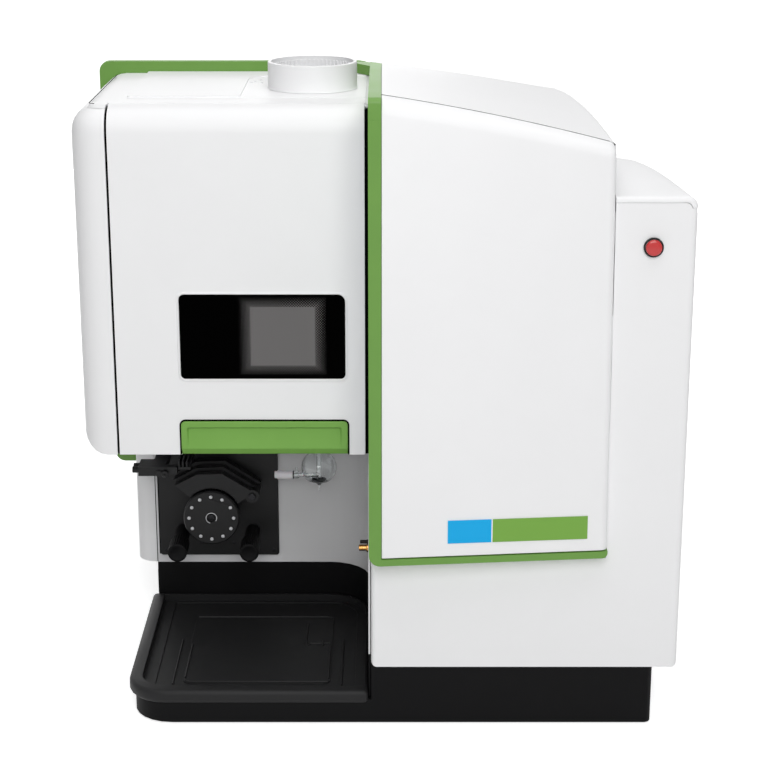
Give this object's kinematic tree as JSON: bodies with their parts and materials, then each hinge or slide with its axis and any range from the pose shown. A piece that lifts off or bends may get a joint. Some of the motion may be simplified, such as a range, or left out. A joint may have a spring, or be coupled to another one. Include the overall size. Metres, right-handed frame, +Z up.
{
  "type": "inductively coupled plasma spectrometer",
  "caption": "Bench-top plasma emission spectrometer with a torch compartment under a lift-up door, an open sample bay with a peristaltic pump, a drip tray and a roof exhaust collar.",
  "frame": {"origin": "middle of the footprint, on the bench", "axes": "+Z up, -Y towards the user (front), +X to the user's right"},
  "size_m": [0.662, 0.7498, 0.709],
  "materials": {
    "white_cover": "white, fine satin moulding",
    "green_trim": "green, satin moulding",
    "black_moulding": "black, satin moulding",
    "grey_liner": "grey powder coat",
    "plated_steel": "zinc plated sheet",
    "dark_steel": "blackened",
    "cast_aluminium": "machined casting",
    "aluminium_plate": "milled",
    "brass": "turned",
    "clear_glass": "clear",
    "dark_glass": "dark tinted, glossy",
    "printed_screen": "printed dots",
    "rubber": "matte",
    "red_button": "glossy",
    "printed_film": "blue and green film, bare",
    "pale_polymer": "smooth"
  },
  "bodies": {
    "instrument": {"base_plinth": "black_moulding", "foot_front_left": "rubber", "foot_front_right": "rubber", "foot_back_left": "rubber", "foot_back_right": "rubber", "chassis_deck": "plated_steel", "chassis_divider": "plated_steel", "chassis_bulkhead": "plated_steel", "rear_panel": "plated_steel", "bay_liner": "grey_liner", "backsplash": "black_moulding", "lower_left_cover": "white_cover", "green_frame": "green_trim", "front_panel": "white_cover", "top_cover": "white_cover", "front_body_cover": "white_cover", "column_cap": "white_cover", "right_side_cover": "white_cover", "rear_left_cover": "white_cover", "left_shell": "white_cover", "housing_top_cover": "white_cover", "housing_floor": "white_cover", "torch_box": "plated_steel", "exhaust_duct": "plated_steel", "duct_collar": "white_cover", "torch_tube": "clear_glass", "torch_mount": "cast_aluminium", "induction_plates": "aluminium_plate", "spray_chamber": "clear_glass", "nebuliser": "pale_polymer", "optics_box": "cast_aluminium", "optics_snout": "cast_aluminium", "power_supply": "plated_steel", "rf_generator": "plated_steel", "door_hinge_pin": "plated_steel", "button_bezel": "black_moulding", "label_plate": "printed_film", "pump_plate": "black_moulding", "pump_motor": "plated_steel", "shoe_pin": "dark_steel", "tube_clip_bar": "black_moulding", "brass_fitting": "brass", "fan_frame": "black_moulding", "mains_inlet": "black_moulding", "argon_port": "brass"},
    "door": {"door_panel": "white_cover", "door_window": "dark_glass", "viewing_screen": "printed_screen", "door_handle": "green_trim"},
    "stop_button": {"stop_button": "red_button"},
    "pump_rotor": {"pump_rotor": "black_moulding", "roller_carrier": "plated_steel"},
    "pressure_shoe_1": {"pressure_shoe_1": "black_moulding"},
    "pressure_shoe_2": {"pressure_shoe_2": "black_moulding"},
    "pressure_shoe_3": {"pressure_shoe_3": "black_moulding"},
    "clamp_knob_left": {"clamp_knob_left": "black_moulding"},
    "clamp_knob_right": {"clamp_knob_right": "black_moulding"},
    "drip_tray": {"drip_tray": "black_moulding"},
    "power_switch": {"power_switch": "black_moulding"},
    "fan_rotor": {"fan_rotor": "black_moulding"}
  },
  "joints": [
    {"name": "door_lift", "type": "hinge", "parent": "instrument", "child": "door", "pos_m": [-0.1509, -0.24, 0.6755], "axis": [-1, 0, 0], "range_deg": [0, 95]},
    {"name": "stop_press", "type": "slide", "parent": "instrument", "child": "stop_button", "axis": [0, 1, 0], "range_m": [0, 0.003], "stiffness_N_per_m": 400, "springref_m": -0.004},
    {"name": "rotor_spin", "type": "hinge", "parent": "instrument", "child": "pump_rotor", "pos_m": [-0.1999, -0.129, 0.1632], "axis": [0, 1, 0], "continuous": true},
    {"name": "shoe_1_lift", "type": "hinge", "parent": "instrument", "child": "pressure_shoe_1", "pos_m": [-0.151, -0.122, 0.1882], "axis": [0, 1, 0], "range_deg": [0, 28]},
    {"name": "shoe_2_lift", "type": "hinge", "parent": "instrument", "child": "pressure_shoe_2", "pos_m": [-0.151, -0.1092, 0.1882], "axis": [0, 1, 0], "range_deg": [0, 28]},
    {"name": "shoe_3_lift", "type": "hinge", "parent": "instrument", "child": "pressure_shoe_3", "pos_m": [-0.151, -0.0965, 0.1882], "axis": [0, 1, 0], "range_deg": [0, 28]},
    {"name": "left_knob_turn", "type": "hinge", "parent": "instrument", "child": "clamp_knob_left", "pos_m": [-0.24, -0.15, 0.1262], "axis": [0, 1, 0], "range_deg": [0, 90]},
    {"name": "right_knob_turn", "type": "hinge", "parent": "instrument", "child": "clamp_knob_right", "pos_m": [-0.1539, -0.15, 0.1262], "axis": [0, 1, 0], "range_deg": [0, 90]},
    {"name": "tray_slide", "type": "slide", "parent": "instrument", "child": "drip_tray", "axis": [0, -1, 0], "range_m": [0, 0.12]},
    {"name": "mains_rocker", "type": "hinge", "parent": "instrument", "child": "power_switch", "pos_m": [0.19, 0.355, 0.14], "axis": [1, 0, 0], "range_deg": [-8, 8]},
    {"name": "fan_spin", "type": "hinge", "parent": "instrument", "child": "fan_rotor", "pos_m": [0.12, 0.3452, 0.4], "axis": [0, 1, 0], "continuous": true}
  ]
}
